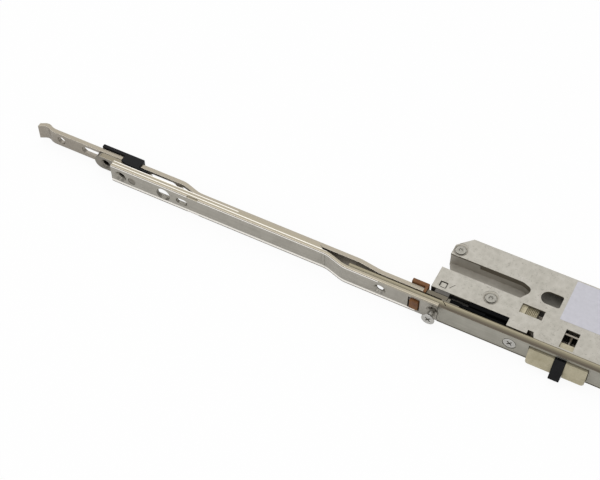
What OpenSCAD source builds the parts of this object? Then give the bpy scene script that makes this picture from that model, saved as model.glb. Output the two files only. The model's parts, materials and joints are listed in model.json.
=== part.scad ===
/* [Layout] */
// Spindle axis behind the front of the faceplate
backset = 45; // [40:1:55]
// Latch centre above the spindle axis
latch_to_spindle = 68; // [66:1:76]
// Cylinder axis below the spindle axis
spindle_to_cylinder = 92; // [92:1:96]
// Rear edge of the case behind the spindle axis
case_behind_spindle = 17.3; // [16:0.5:24]

/* [Faceplate] */
// Width of the faceplate
plate_w = 16; // [16:0.5:20]
// Thickness of the faceplate metal
plate_t = 2.6; // [2.4:0.1:2.8]
// Depth of the faceplate's folded edges
rail_depth = 5.4; // [5.2:0.1:5.6]
// Step of the upper faceplate between its two levels
upper_step = 4.4; // [4.2:0.1:4.6]
// Length of the upper faceplate above its step
upper_plate_len = 168; // [140:1:200]
// Length of the main faceplate below the spindle axis
lower_plate_len = 330; // [320:1:400]

/* [Rods] */
// Width of the drive rods
rod_w = 12; // [11:0.5:12]
// Thickness of the drive rods
rod_t = 3.2; // [2.8:0.1:3.2]
// Length of the upper rod past the upper faceplate
upper_rod_reach = 67; // [60:1:90]
// Length of the lower rod past the main faceplate
lower_rod_reach = 34; // [30:1:60]
// Diameter of the coupling holes at the rod ends
rod_hole_d = 6.6; // [5:0.1:7]

/* [Case] */
// Thickness of the lock case
case_t = 12; // [12:0.2:13]
// Thickness of the case sheet
sheet = 1.2; // [1:0.1:1.4]
// Radius of the lock cylinder's hole
cylinder_r = 8.6; // [8.5:0.05:8.8]
// Width of the slot under the lock cylinder's hole
cylinder_slot_w = 10.4; // [10:0.1:10.6]

/* [Latch] */
// Length of the latch head along the faceplate
latch_len = 38.6; // [36:0.2:38.8]
// Reach of the metal latch head past the faceplate
latch_reach = 6.3; // [5:0.1:7]
// Reach of the plastic latch insert past the faceplate
insert_reach = 10.7; // [10:0.1:10.9]
// Width of the plastic latch insert
insert_w = 7.2; // [6:0.2:8]

/* [Mechanism] */
// Square hole for the handle spindle
spindle_sq = 8.1; // [8:0.05:8.3]
// Tooth module of follower and slide
gear_module = 2; // [1.9:0.05:2.05]
// Clearance of sliding parts
slide_gap = 0.3; // [0.25:0.05:0.4]
// Radial clearance of pins and bearings
pin_gap = 0.05; // [0.03:0.01:0.08]

/* [Hidden] */
eps = 0.01;

// Positions along the lock, from the spindle axis
latch_x = -latch_to_spindle;
seam_x = latch_x - 78.1;
plate_seam_x = latch_x - 81.8;
coupling_x = latch_x - 85.2;
cap_x = latch_x - 69.5;
window_x = latch_x - 98.3;
low_screw_x = latch_x - 122.6;
step_low_x = latch_x - 149.6;
step_high_x = latch_x - 163.4;
upper_end_x = step_high_x - upper_plate_len + 0.4;
end_screw_x = upper_end_x + 7.5;
rod_tip_x = upper_end_x - upper_rod_reach;

// Levels behind the front plane
rod_low_y = 7.65;
rod_mid_y = 9.9;
rod_high_y = 14;
link_y = 7.6;
link_t = 2.4;
connector_y = upper_step + rail_depth - 0.1;

half_w = plate_w / 2;
flange_t = 1.8;
rod_half = rod_w / 2;
case_half = case_t / 2;
inner_half = case_half - sheet;
wing_y = 14.3;
case_back = backset + case_behind_spindle;
case_x0 = latch_x - 92.6;
case_x1 = spindle_to_cylinder + 58;
front_x0 = latch_x - 38.4;
front_x1 = spindle_to_cylinder + 14;

// Gear that turns the handle's movement into rod travel
gear_teeth = 20;
pitch_r = gear_module * gear_teeth / 2;
pitch_y = backset - pitch_r;
turn = 40;
travel = pitch_r * turn * PI / 180;
nose_r = 17.5;
nose_a = 165;
sector_z0 = -2.2;
sector_z1 = 0.6;

// Layers inside the case
slide_z0 = -inner_half + 0.2;
slide_z1 = slide_z0 + 2;
lever_z0 = 1.2;
lever_z1 = 3.2;

insert_x = latch_x + 1.3;
stem_z = -0.5;
head_half = inner_half - slide_gap;
stem_pin_y = 25.65;
lever_pivot = [latch_x + 28, stem_pin_y + 5.35];
changer_pivot = [40, 34];
latch_rear_y = 13;
latch_travel = insert_reach;
insert_travel = insert_reach - latch_reach;
stem_r = 1.3;
collar_y = 34;
bracket_y = 52;
channel_y0 = 31.8;
channel_y1 = 44.5;
channel_z = case_half - 4.2;
collar_x = latch_x - 70.6;
post_r = 2.6;
rivet_r = 1.1;
hub_r = 9;
block_y = channel_y0 - 1.5;
bar_y0 = wing_y - 0.5;
bar_y1 = bar_y0 + 5.6;
head_r = 3.5;
posts = [
  [latch_x - 87.2, 50], [latch_x - 54.8, 23], [30, 55.5], [60, 24.5],
  [case_x1 - 24, 25], [case_x1 - 16, 50]
];
case_screw_x = [latch_x - 32.3, 84];
open_hole_x = [lower_plate_len - 144, lower_plate_len - 12];
cam_x = lower_plate_len - 80;

// A copy of the path with each corner replaced by a curve
function blend(p, q, r, t) = let (d = norm(q - p)) p + (q - p) * min(r, d / 2) / d;
function curve(path, r, n = 5) = [
  for (i = [0 : len(path) - 1])
    if (i == 0 || i == len(path) - 1) path[i]
    else let (a = blend(path[i], path[i - 1], r), b = blend(path[i], path[i + 1], r))
      for (k = [0 : n]) let (t = k / n)
        a * (1 - t) * (1 - t) + path[i] * 2 * t * (1 - t) + b * t * t
];
function reversed(path) = [for (i = [len(path) - 1 : -1 : 0]) path[i]];

// A strip bent along a path of x and y, as thick as t and as wide as w
module bent_strip(path, t, w) {
  side = [for (p = path) p + [0, t]];
  linear_extrude(height = w, center = true) polygon(concat(path, reversed(side)));
}

// A block from corner to corner
module block(a, b) {
  translate(a) cube(b - a);
}

// A round rod along the depth of the lock
module depth_rod(x, y0, y1, r, r1 = undef, z = 0) {
  translate([x, y0, z]) rotate([-90, 0, 0])
    cylinder(h = y1 - y0, r1 = r, r2 = r1 == undef ? r : r1, $fn = 32);
}

// A round rod across the thickness of the lock
module cross_rod(p, z0, z1, r) {
  translate([p[0], p[1], z0]) cylinder(h = z1 - z0, r = r, $fn = 40);
}

// A countersunk hole whose mouth is at level y
module sunk_hole(x, y, depth, bore_r = 2.6, mouth_r = 4.7) {
  depth_rod(x, y - 1, y + depth + 1, bore_r);
  depth_rod(x, y - eps, y + mouth_r - bore_r, mouth_r, bore_r);
}

// A slot with round ends, cut along the depth
module depth_slot(x0, x1, w, y0, y1) {
  translate([0, y0, 0]) rotate([-90, 0, 0]) linear_extrude(height = y1 - y0) {
    translate([x0 + w / 2, -w / 2]) square([x1 - x0 - w, w]);
    for (x = [x0 + w / 2, x1 - w / 2]) translate([x, 0]) circle(r = w / 2, $fn = 32);
  }
}

// Main faceplate, with a joggled tongue under the upper faceplate
module faceplate() {
  tongue_y = plate_t + 0.1;
  back_y = tongue_y + plate_t;
  color("silver") difference() {
    union() {
      linear_extrude(height = plate_w, center = true) polygon([
        [step_low_x + 3, tongue_y], [plate_seam_x + 0.3, tongue_y], [plate_seam_x + 0.3, 0], [lower_plate_len, 0],
        [lower_plate_len, plate_t], [plate_seam_x + 4, plate_t], [plate_seam_x + 1, back_y], [step_low_x + 3, back_y]
      ]);
      for (s = [-1, 1]) translate([0, 0, s * (half_w - flange_t / 2)])
        linear_extrude(height = flange_t, center = true)
          polygon([[plate_seam_x + 4, plate_t - 1], [lower_plate_len, plate_t - 1],
            [lower_plate_len, rail_depth], [plate_seam_x + 6, rail_depth]]);
    }
    block([latch_x - latch_len / 2 - 0.4, -1, -rod_half], [latch_x + latch_len / 2 + 0.4, plate_t + 1, rod_half]);
    for (x = case_screw_x) sunk_hole(x, 0, plate_t, 2.2, 4.5);
    for (x = open_hole_x) sunk_hole(x, 0, plate_t);
    depth_slot(cam_x - travel - 5, cam_x + travel + 5, 8.8, -1, plate_t + 1);
    depth_rod(coupling_x, 0, back_y + 1, 2 + pin_gap);
    depth_rod(coupling_x, -eps, 1.9, 4.5, 2.6);
    depth_rod(low_screw_x, 0, back_y + 1, 2.6);
    block([window_x - 4.1, 0, -5.4], [window_x + 4.1, back_y + 1, 5.4]);
  }
}

// Upper faceplate, with folded edges above its step and flat below
module upper_faceplate() {
  front = curve([
    [upper_end_x, upper_step], [step_high_x, upper_step], [step_low_x, 0], [plate_seam_x, 0]
  ], 3);
  flange_x = step_high_x - 3;
  color("gainsboro") difference() {
    union() {
      bent_strip(front, plate_t, plate_w);
      for (s = [-1, 1]) translate([0, 0, s * (half_w - flange_t / 2)])
        linear_extrude(height = flange_t, center = true)
          polygon([[upper_end_x, upper_step + 1], [flange_x, upper_step + 1],
            [flange_x - 3, connector_y], [upper_end_x, connector_y]]);
    }
    sunk_hole(end_screw_x, upper_step, plate_t);
    sunk_hole(low_screw_x, 0, plate_t, 2.6, 4.5);
    sunk_hole(coupling_x, 0, plate_t, 2.6, 4.5);
    depth_rod(upper_end_x + 16.7, upper_step - 1, upper_step + 0.6, 3);
    depth_rod(upper_end_x + 42.2, upper_step - 1, upper_step + plate_t + 1, 5.3);
    depth_slot(upper_end_x + 52.3, upper_end_x + 61.3, 5.6, upper_step - 1, upper_step + plate_t + 1);
    for (s = [-1, 1])
      block([upper_end_x + 61.3, upper_step - 1, s * half_w - 0.8], [upper_end_x + 69.7, upper_step + 1.4, s * half_w + 0.8]);
    block([window_x - 4.1, -1, -5.4], [window_x + 4.1, plate_t + 1, 5.4]);
  }
}

// Connecting strip that carries the next length of faceplate
module end_connector() {
  x0 = upper_end_x - 17;
  x1 = upper_end_x + 18;
  hole_x = upper_end_x - 8;
  color("darkgray") difference() {
    union() {
      translate([0, connector_y, 0]) rotate([-90, 0, 0]) linear_extrude(height = rod_high_y - 0.3 - connector_y) {
        translate([x0 + rod_half, -rod_half]) square([x1 - x0 - rod_half, rod_w]);
        translate([x0 + rod_half, 0]) circle(r = rod_half, $fn = 48);
      }
      block([upper_end_x + 0.5, upper_step + plate_t, -rod_half], [x1, connector_y + eps, rod_half]);
    }
    sunk_hole(hole_x, connector_y, 6, 2.6, 4);
    depth_rod(end_screw_x, upper_step, rod_high_y, 2.2);
  }
}

// Clip that guides the upper rod at the end of the upper faceplate
module rod_guide_clip() {
  back_y = rod_high_y + rod_t + slide_gap;
  x0 = upper_end_x + 3.7;
  x1 = upper_end_x + 18.5;
  half = rod_half + slide_gap;
  color("#151515") union() {
    block([upper_end_x - 14.8, back_y, -half - 1.2], [x1, back_y + 2.6, half + 1.2]);
    for (s = [-1, 1]) {
      translate([0, 0, s * (half + 0.6)]) linear_extrude(height = 1.2, center = true)
        polygon([[x0, back_y + 1], [x1, back_y + 1], [x1, back_y - 1.4], [x1 - 2.6, connector_y + 1.3],
          [x0 + 5, connector_y + 1.3], [x0, back_y - 5]]);
    }
    block([x1 - 1, connector_y + 1.3, half], [x1 + 7, connector_y + 2.7, half + 1.2]);
    block([x1 - 3, connector_y + 1.3, half], [x1, back_y, half + 1.2]);
  }
}

// Clip that shows and holds the middle position of the rods
module position_clip() {
  back_y = rod_low_y + rod_t + slide_gap;
  half = rod_half + slide_gap;
  color("#6a3f22") union() {
    block([window_x - 3.4, -1.6, -4.4], [window_x + 3.4, 2 * plate_t + 0.1, 4.4]);
    block([window_x - 1.8, 2 * plate_t - 1, -2.2], [window_x + 1.8, back_y + 1, 2.2]);
    block([window_x - 6.7, back_y, -half - 1.2], [window_x + 5, back_y + 3, half + 1.2]);
    for (s = [-1, 1]) translate([0, 0, s * (half + 0.6)])
      block([window_x + 3, rod_low_y - 0.9, -0.6], [window_x + 5, back_y + 1, 0.6]);
  }
}

// Loose screw that couples the two faceplates
module coupling_screw() {
  head_y = -7;
  color("lightsteelblue") difference() {
    union() {
      depth_rod(coupling_x, head_y + 0.5, head_y + 3, 4.5, 2);
      depth_rod(coupling_x, head_y, head_y + 0.5 + eps, 4.5);
      depth_rod(coupling_x, head_y + 2.5, 2 * plate_t - 0.1, 2);
    }
    cross_recess(coupling_x, head_y);
  }
}

// Cross recess in a screw head at level y
module cross_recess(x, y) {
  for (a = [45, 135]) translate([x, y, 0]) rotate([0, a, 0])
    translate([-2.2, -1, -0.45]) cube([4.4, 2.3, 0.9]);
}

// Countersunk screws that hold the case on the faceplate
module faceplate_screws() {
  color("lightsteelblue") for (x = case_screw_x) difference() {
    union() {
      depth_rod(x, 0.25, 2.5, 4.2, 2);
      depth_rod(x, 0.1, 0.25 + eps, 4.2);
      depth_rod(x, 2.4, link_y - 0.5, 2);
    }
    cross_recess(x, 0.1);
  }
}

// Outline of the case as seen from the side
module case_outline() {
  polygon([
    [case_x0, wing_y], [front_x0, wing_y], [front_x0, rail_depth], [front_x1, rail_depth],
    [front_x1, wing_y], [case_x1, wing_y], [case_x1, case_back - 9], [case_x1 - 9, case_back],
    [case_x0 + 10, case_back], [case_x0 + 0.7, case_back - 9.5], [case_x0 + 0.7, 44.5], [case_x0, 31.8]
  ]);
}

// Hole for a profile cylinder, round above and a slot below
module cylinder_hole() {
  translate([spindle_to_cylinder, backset]) {
    circle(r = cylinder_r, $fn = 64);
    translate([0, -cylinder_slot_w / 2]) square([24.5 - cylinder_slot_w / 2, cylinder_slot_w]);
    translate([24.5 - cylinder_slot_w / 2, 0]) circle(r = cylinder_slot_w / 2, $fn = 48);
  }
}

// Holes that the two sides of the case share
module side_holes() {
  translate([0, backset]) circle(r = 11, $fn = 64);
  cylinder_hole();
}

// Tray of the case, with its bent-up walls
module case_tray() {
  gate = travel + 6.5;
  color("#b9b4a8") difference() {
    union() {
      translate([0, 0, -case_half]) linear_extrude(height = sheet) difference() {
        case_outline();
        side_holes();
        for (p = posts) translate(p) circle(r = 1.8, $fn = 32);
      }
      translate([0, 0, -case_half]) linear_extrude(height = case_t - sheet) difference() {
        case_outline();
        offset(delta = -sheet) case_outline();
      }
    }
    // Open end of the channel
    block([case_x0 - 1, channel_y0 - sheet - 0.3, -inner_half], [case_x0 + 3, channel_y1 + sheet + 0.3, case_half]);
    channel_notch();
    // Mouth of the latch
    block([latch_x - latch_len / 2 - 0.4, 0, -rod_half + 1.2], [latch_x + latch_len / 2 + 0.4, rail_depth + sheet + 0.5, inner_half + 2]);
    // Gates for the arms of the slide
    for (x = [[front_x0 - 6.4 - gate, front_x0 + 2], [front_x1 - 2, front_x1 + 23 + gate]])
      block([x[0], rail_depth + 1.6, slide_z0 - 0.2], [x[1], wing_y + sheet + 0.5, slide_z1 + 0.4]);
    block([front_x0 - 1, rail_depth + 1.7, -inner_half], [front_x0 + 2, wing_y - 0.5, case_half]);
    block([front_x1 - 2, rail_depth + 1.7, -inner_half], [front_x1 + 1, wing_y - 0.5, case_half]);
    for (x = case_screw_x) depth_rod(x, rail_depth - 1, rail_depth + sheet + 1, 2.05);
  }
}

// Cover of the case, with an open channel, windows and dished screw seats
module case_cover() {
  color("#bdb8ab") difference() {
    union() {
      translate([0, 0, inner_half]) linear_extrude(height = sheet) difference() {
        case_outline();
        side_holes();
      }
      // Drawn collar of the channel
      translate([0, 0, channel_z]) linear_extrude(height = case_half - channel_z) channel_outline(sheet);
    }
    linear_extrude(height = case_half + 1) channel_outline();
    block([case_x0 - 1, channel_y0 - sheet - 0.1, 0], [collar_x, channel_y1 + sheet + 0.1, inner_half]);
    // Rack window, latch window and round-ended hole
    block([latch_x - 35.1, 21.5, 0], [latch_x - 19.8, 28.9, case_half + 1]);
    block([latch_x - 3.3, 7.8, 0], [latch_x + 5.8, 22.7, case_half + 1]);
    translate([0, 0, 0]) linear_extrude(height = case_half + 1) {
      translate([latch_x - 21.9, 40.1]) circle(r = 5.1, $fn = 48);
      translate([latch_x - 21.9, 35]) square([6.3, 10.2]);
      translate([latch_x - 17, 36.6]) square([3.9, 7]);
      for (y = [36.6, 43.6]) translate([latch_x - 14.7, y]) circle(r = 1.6, $fn = 24);
    }
    // Recess and notch beside the latch
    block([front_x0 - 1, rail_depth - 1, inner_half - 1], [front_x0 + 13.8, 8, case_half + 1]);
    translate([0, 0, inner_half - 1]) linear_extrude(height = sheet + 2)
      polygon([[front_x0 + 13.7, rail_depth - 1], [front_x0 + 13.7, 11], [front_x0 + 17.3, 11], [front_x0 + 19.8, rail_depth - 1]]);
    // Lance mark
    block([latch_x - 87.7, 16.2, case_half - 0.3], [latch_x - 83.2, 20.6, case_half + 1]);
    for (p = posts) translate([p[0], p[1], 0]) {
      cylinder(h = case_half + 1, r = 1.9, $fn = 32);
      translate([0, 0, case_half - 0.7]) cylinder(h = 0.7 + eps, r1 = head_r + 0.5, r2 = 5.6, $fn = 48);
    }
  }
}

// Plan of the channel, open past the end of the case where nothing is grown
module channel_outline(grow = 0) {
  g = grow;
  x0 = case_x0 - (g < 0.5 ? 1 : 0);
  x1 = latch_x - 34.1 + g;
  polygon([
    [x0, channel_y0 - g], [x1 - 4.3 - g / 2, channel_y0 - g], [x1, channel_y0 + 6.7 - g / 2], [x1 - 0.6, channel_y0 + 10.2 + g / 2],
    [x1 - 6.8 + g / 2, channel_y1 + g], [x0 + (g < 0.5 ? 0 : 0.8), channel_y1 + g]
  ]);
}

// Slanted cut at the open end of the channel
module channel_notch() {
  translate([0, 0, -case_half - 1]) linear_extrude(height = case_half + inner_half)
    polygon([[case_x0 - 1, channel_y1 + 0.1], [case_x0 + 0.8, channel_y1 + 0.1],
      [case_x0 + 7.4, channel_y0 - 0.1], [case_x0 - 1, channel_y0 - 0.1]]);
}

// Dark steel liner that closes the channel below its collar
module channel_liner() {
  color("#4f4d49") difference() {
    translate([0, 0, -inner_half]) linear_extrude(height = 2 * inner_half) channel_outline(sheet);
    translate([0, 0, -inner_half + 1]) linear_extrude(height = case_t) channel_outline(0.2);
    block([collar_x - 0.3, channel_y0 - 3, channel_z - 0.3], [latch_x, channel_y1 + 3, case_half]);
    channel_notch();
  }
}

// Threaded posts between tray and cover
module case_posts() {
  color("#9c9a94") for (p = posts) difference() {
    union() {
      cross_rod(p, -case_half, -inner_half + eps, 1.8);
      cross_rod(p, -inner_half, inner_half, post_r);
    }
    cross_rod(p, -1, inner_half + 1, 1.3);
  }
}

// Flat-headed screws of the cover
module case_screws() {
  z0 = case_half - 0.7;
  color("#8f8d87") for (p = posts) difference() {
    union() {
      translate([p[0], p[1], z0]) cylinder(h = 0.75, r = head_r, $fn = 48);
      cross_rod(p, 0.5, z0 + eps, 1.25);
    }
    for (a = [0 : 60 : 120]) translate([p[0], p[1], z0 + 0.15]) rotate(a)
      translate([-1.6, -0.45, 0]) cube([3.2, 0.9, 1]);
  }
}

// Plain label on the cover
module case_label() {
  color("whitesmoke") block([latch_x - 10.1, 28, case_half], [latch_x + 40, case_back - 1, case_half + 0.12]);
}

// Plastic bearing rings of the follower in the sides of the case
module follower_bushes() {
  color("#e6e2d3") for (s = [-1, 1]) scale([1, 1, s]) difference() {
    union() {
      cross_rod([0, backset], inner_half - 0.6, case_half, 11);
      cross_rod([0, backset], inner_half - 0.6, inner_half, 12.5);
    }
    cross_rod([0, backset], 0, case_half + 1, hub_r + pin_gap);
  }
}

// Bracket that the latch spring pushes against
module spring_bracket() {
  color("#a8a59d") difference() {
    union() {
      block([insert_x - 6, bracket_y, -inner_half], [insert_x + 6, bracket_y + 1.5, inner_half]);
      block([insert_x - 6, bracket_y, -inner_half], [insert_x + 6, bracket_y + 7, -inner_half + 1]);
    }
    depth_rod(insert_x, bracket_y - 1, bracket_y + 3, 1.9, z = stem_z);
  }
}

// Pins that the two levers turn on
module pivot_pins() {
  color("#9c9a94") for (p = [lever_pivot, changer_pivot]) cross_rod(p, -inner_half, inner_half, 2.2);
}

// Upper rod with its hooked end and two cranks
module upper_rod() {
  path = curve([
    [rod_tip_x, rod_high_y - 0.3], [rod_tip_x + 6, rod_high_y + 2.8], [rod_tip_x + 11, rod_high_y],
    [step_high_x - 114, rod_high_y], [step_high_x - 101, rod_mid_y], [low_screw_x - 18.9, rod_mid_y],
    [low_screw_x - 3.4, rod_low_y], [seam_x - 1, rod_low_y]
  ], 3);
  slot_x = upper_end_x - 30.5;
  color("#c2bfb6") difference() {
    bent_strip(path, rod_t, rod_w);
    depth_rod(rod_tip_x + 19, rod_high_y - 2, rod_high_y + rod_t + 2, rod_hole_d / 2);
    depth_slot(slot_x, slot_x + 34, 7, rod_high_y - 1, rod_high_y + rod_t + 1);
    depth_slot(upper_end_x + 50, upper_end_x + 74, 7, rod_mid_y - 1, rod_high_y + rod_t + 1);
    depth_slot(upper_end_x + 25, upper_end_x + 48, 8, rod_mid_y - 1, rod_high_y + rod_t + 1);
    depth_slot(low_screw_x - 8.4, window_x + travel + 4.3, 5.4, rod_low_y - 2, rod_low_y + rod_t + 2);
    depth_rod(seam_x - 2.4, rod_low_y - 1, rod_low_y + rod_t + 1, rivet_r, z = 3.4);
    depth_rod(seam_x - 2.4, rod_low_y - 1, rod_low_y + rod_t + 1, rivet_r, z = -3.4);
  }
}

// Plate that joins the upper rod to the link strip
module rod_coupler() {
  color("#8d8a82") difference() {
    block([seam_x - 4, 2 * plate_t + 0.4, -rod_half + 0.1], [seam_x + 8, rod_low_y, rod_half - 0.1]);
    for (x = [seam_x - 2.4, seam_x + 5]) for (z = [-3.4, 3.4]) depth_rod(x, plate_t, rod_low_y + 1, rivet_r, z = z);
  }
}

// Block on the case that backs the rod beside its coupling
module rod_guide_block() {
  y0 = rod_low_y + rod_t + slide_gap;
  color("#8d8a82") union() {
    block([seam_x - 11, y0, -rod_half], [seam_x - 1, wing_y, rod_half]);
    block([seam_x - 11, y0, -rod_half], [front_x0 - 6.4 - travel - 6.8, wing_y, 2]);
  }
}

// Plastic lip that closes the gap behind the strip beside the case
module gate_shield() {
  x0 = front_x0 - travel - 12.8;
  y0 = rod_low_y + rod_t + slide_gap;
  color("#1b1b1b") union() {
    block([x0, y0, slide_z1 + 0.4], [front_x0 - 0.4, wing_y, inner_half]);
    block([x0, y0, inner_half], [front_x0 - 0.4, wing_y, case_half - 0.3]);
  }
}

// Strip that drives the upper rod, narrower where it slides into the case
module link_strip() {
  narrow_x = front_x0 - travel - 0.5;
  color("#c2bfb6") difference() {
    union() {
      block([seam_x - 0.7, rod_low_y, -rod_half], [cap_x, link_y + link_t, rod_half]);
      block([cap_x, rod_low_y, -rod_half], [narrow_x, link_y + link_t, 2]);
      block([narrow_x, rod_low_y, -inner_half + slide_gap], [front_x0 - 1.4, link_y + link_t, 2]);
    }
    for (z = [-3.4, 3.4]) depth_rod(seam_x + 5, link_y - 1, rod_low_y + rod_t, rivet_r, z = z);
  }
}

// Black cap that rides on the strip and slides into the case with it
module strip_cap() {
  color("#1b1b1b") union() {
    block([cap_x, rod_low_y, 2], [front_x0 - 1.4, link_y + link_t, inner_half - slide_gap]);
    block([cap_x, rod_low_y, inner_half - slide_gap], [front_x0 - travel - 0.5, link_y + link_t, case_half - 0.2]);
  }
}

// Outline of one rack tooth, pointing along +Y
function rack_tooth(x) = let (m = gear_module, h = 0.25 * PI * m - 0.06, t = tan(20)) [
  [x - h - 1.25 * m * t, -1.25 * m], [x - h + m * t, m], [x + h - m * t, m], [x + h + 1.25 * m * t, -1.25 * m]
];

// Slide in the case, with the rack that the follower drives
module rack_slide() {
  m = gear_module;
  n = 5;
  rack_x0 = -(n + 0.2) * PI * m;
  base_y = bar_y1 - 2 - pitch_y;
  color("#b5b2a9") union() {
    translate([0, 0, slide_z0]) linear_extrude(height = slide_z1 - slide_z0) polygon([
      [front_x0 - 11.4, link_y + link_t], [front_x0 - 1.4, link_y + link_t], [front_x0 - 1.4, bar_y0],
      [front_x1 + 18, bar_y0], [front_x1 + 18, rod_low_y + rod_t], [front_x1 + 28, rod_low_y + rod_t],
      [front_x1 + 28, bar_y1], [latch_x - 12, bar_y1], [latch_x - 12, block_y], [latch_x - 36, block_y],
      [latch_x - 36, bar_y1], [front_x0 - 11.4, bar_y1]
    ]);
    translate([0, pitch_y, slide_z1 - eps]) linear_extrude(height = sector_z1 - slide_z1 + eps) polygon(concat(
      [[rack_x0, base_y]],
      [[rack_x0, -1.25 * m]],
      [for (i = [-n : n - 1]) for (p = rack_tooth((i + 0.5) * PI * m)) p],
      [[-rack_x0, -1.25 * m]],
      [[-rack_x0, base_y]]
    ));
  }
}

// Serrated part of the slide that shows in the rack window
module serrated_block() {
  x0 = latch_x - 31.3;
  pitch = 1.1;
  n = 7;
  top = 3.6;
  color("#c9c2ae") translate([0, block_y, 0]) rotate([90, 0, 0]) linear_extrude(height = 10.5) polygon(concat(
    [[x0, slide_z1]],
    [for (i = [0 : n - 1]) for (p = [[0.05, top - 0.7], [0.4, top], [0.7, top], [1.05, top - 0.7]])
      [x0 + i * pitch + p[0], p[1]]],
    [[x0 + n * pitch, slide_z1]]
  ));
}

// Plastic block on the slide beside the serrations
module slide_block() {
  color("#d8cfb2") block([latch_x - 35.8, block_y - 10.5, slide_z1], [latch_x - 31.4, block_y, 3.9]);
}

// Lower rod that leaves the case at its lower end
module lower_rod() {
  x0 = front_x1 + 18;
  x1 = lower_plate_len + lower_rod_reach;
  color("#c2bfb6") difference() {
    block([x0, rod_low_y, -rod_half], [x1, rod_low_y + rod_t, rod_half]);
    depth_rod(x1 - 10, rod_low_y - 1, rod_low_y + rod_t + 1, rod_hole_d / 2);
    depth_rod(cam_x, rod_low_y - 1, rod_low_y + rod_t + 1, 2.5);
  }
}

// Mushroom cam riveted to the lower rod
module locking_cam() {
  color("#d9d7d0") union() {
    depth_rod(cam_x, rod_low_y, rod_low_y + rod_t, 2.5);
    depth_rod(cam_x, -5.5, rod_low_y, 4);
    depth_rod(cam_x, -8.6, -5.5 + eps, 6.4);
    depth_rod(cam_x, -9.4, -8.6 + eps, 5.4, 6.4);
  }
}

// Rivets that join the rods to the arms of the slide
module slide_rivets() {
  color("#9c9a94") {
    for (x = [front_x0 - 9, front_x0 - 4])
      cross_rod([x, bar_y1 - 2], slide_z0 - 0.1, slide_z0, 1.6);
    for (x = [front_x1 + 20.5, front_x1 + 25.5])
      cross_rod([x, bar_y1 - 2], slide_z1, slide_z1 + 0.6, 1.6);
    for (z = [-3.4, 3.4]) {
      depth_rod(seam_x - 2.4, 2 * plate_t + 0.5, rod_low_y + rod_t - 0.1, rivet_r, z = z);
      depth_rod(seam_x + 5, 2 * plate_t + 0.5, link_y + link_t - 0.1, rivet_r, z = z);
    }
  }
}

// Angle swept by an involute at radius r, from its base circle
function involute_angle(r, base) = let (a = sqrt(max(0, (r / base) * (r / base) - 1))) a * 180 / PI - atan(a);

// One gear tooth centred on the angle a
function gear_tooth(a, teeth, m) = let (
  rp = m * teeth / 2, base = rp * cos(20), root = rp - 1.25 * m, tip = rp + m,
  half = 90 / teeth + involute_angle(rp, base) - 0.15,
  radii = [for (k = [0 : 5]) max(base, root) + (tip - max(base, root)) * k / 5]
) concat(
  [[root, a - half]],
  [for (r = radii) [r, a - half + involute_angle(r, base)]],
  [for (k = [5 : -1 : 0]) [radii[k], a + half - involute_angle(radii[k], base)]],
  [[root, a + half]]
);

// Follower with the square hole for the handle spindle
module follower() {
  n = 4;
  step = 360 / gear_teeth;
  end = (n + 0.5) * step;
  color("#c7c2b0") translate([0, backset, 0]) difference() {
    union() {
      cylinder(h = 2 * case_half + 0.8, r = hub_r, center = true, $fn = 64);
      translate([0, 0, -inner_half + 0.8]) cylinder(h = 2 * inner_half - 1.6, r = 10.8, $fn = 64);
      translate([0, 0, sector_z0]) linear_extrude(height = sector_z1 - sector_z0) polygon(concat(
        [[0, 0]],
        [[17.5 * cos(-90 - end), 17.5 * sin(-90 - end)]],
        [for (i = [-n : n]) for (p = gear_tooth(-90 + i * step, gear_teeth, gear_module)) [p[0] * cos(p[1]), p[0] * sin(p[1])]],
        [[17.5 * cos(-90 + end), 17.5 * sin(-90 + end)]]
      ));
      // Nose that meets the latch lever at the end of the turn
      translate([0, 0, lever_z0]) linear_extrude(height = lever_z1 - lever_z0) polygon([
        for (p = [[hub_r, 130], [nose_r, nose_a - 8], [nose_r, nose_a], [hub_r, 195]]) [p[0] * cos(p[1]), p[0] * sin(p[1])]
      ]);
    }
    translate([-spindle_sq / 2, -spindle_sq / 2, -case_half - 1]) cube([spindle_sq, spindle_sq, case_t + 2]);
  }
}

// Metal latch, two wedge-shaped halves on one body
module latch_bolt() {
  x0 = latch_x - latch_len / 2;
  x1 = latch_x + latch_len / 2;
  slot0 = insert_x - insert_w / 2 - 0.2;
  slot1 = insert_x + insert_w / 2 + 0.2;
  r = latch_reach;
  h = head_half;
  low_z = slide_z1 + 0.4;
  color("#c9c19f") difference() {
    union() {
      translate([x0, 0, 0]) rotate([90, 0, 90]) linear_extrude(height = latch_len) polygon([
        [latch_rear_y - 4, h - 0.1], [plate_t, h - 0.1], [plate_t, h], [-1, h], [-r + 1, -h + 3], [-r, -h + 0.8],
        [-r + 0.8, -h], [plate_t, -h], [plate_t, low_z], [latch_rear_y - 4, low_z]
      ]);
      block([insert_x - 9.5, 5, low_z], [insert_x + 9.5, latch_rear_y, h - 0.1]);
    }
    // Pocket of the plastic insert
    block([slot0, -r - 1, -case_half], [slot1, 8.2, case_half]);
    depth_rod(insert_x, 8, latch_rear_y + 1, stem_r, z = stem_z);
    // Outer corners of the head
    for (x = [x0, x1]) translate([x, -r, 0]) rotate(45) cube([2.4, 2.4, 30], center = true);
  }
}

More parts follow.
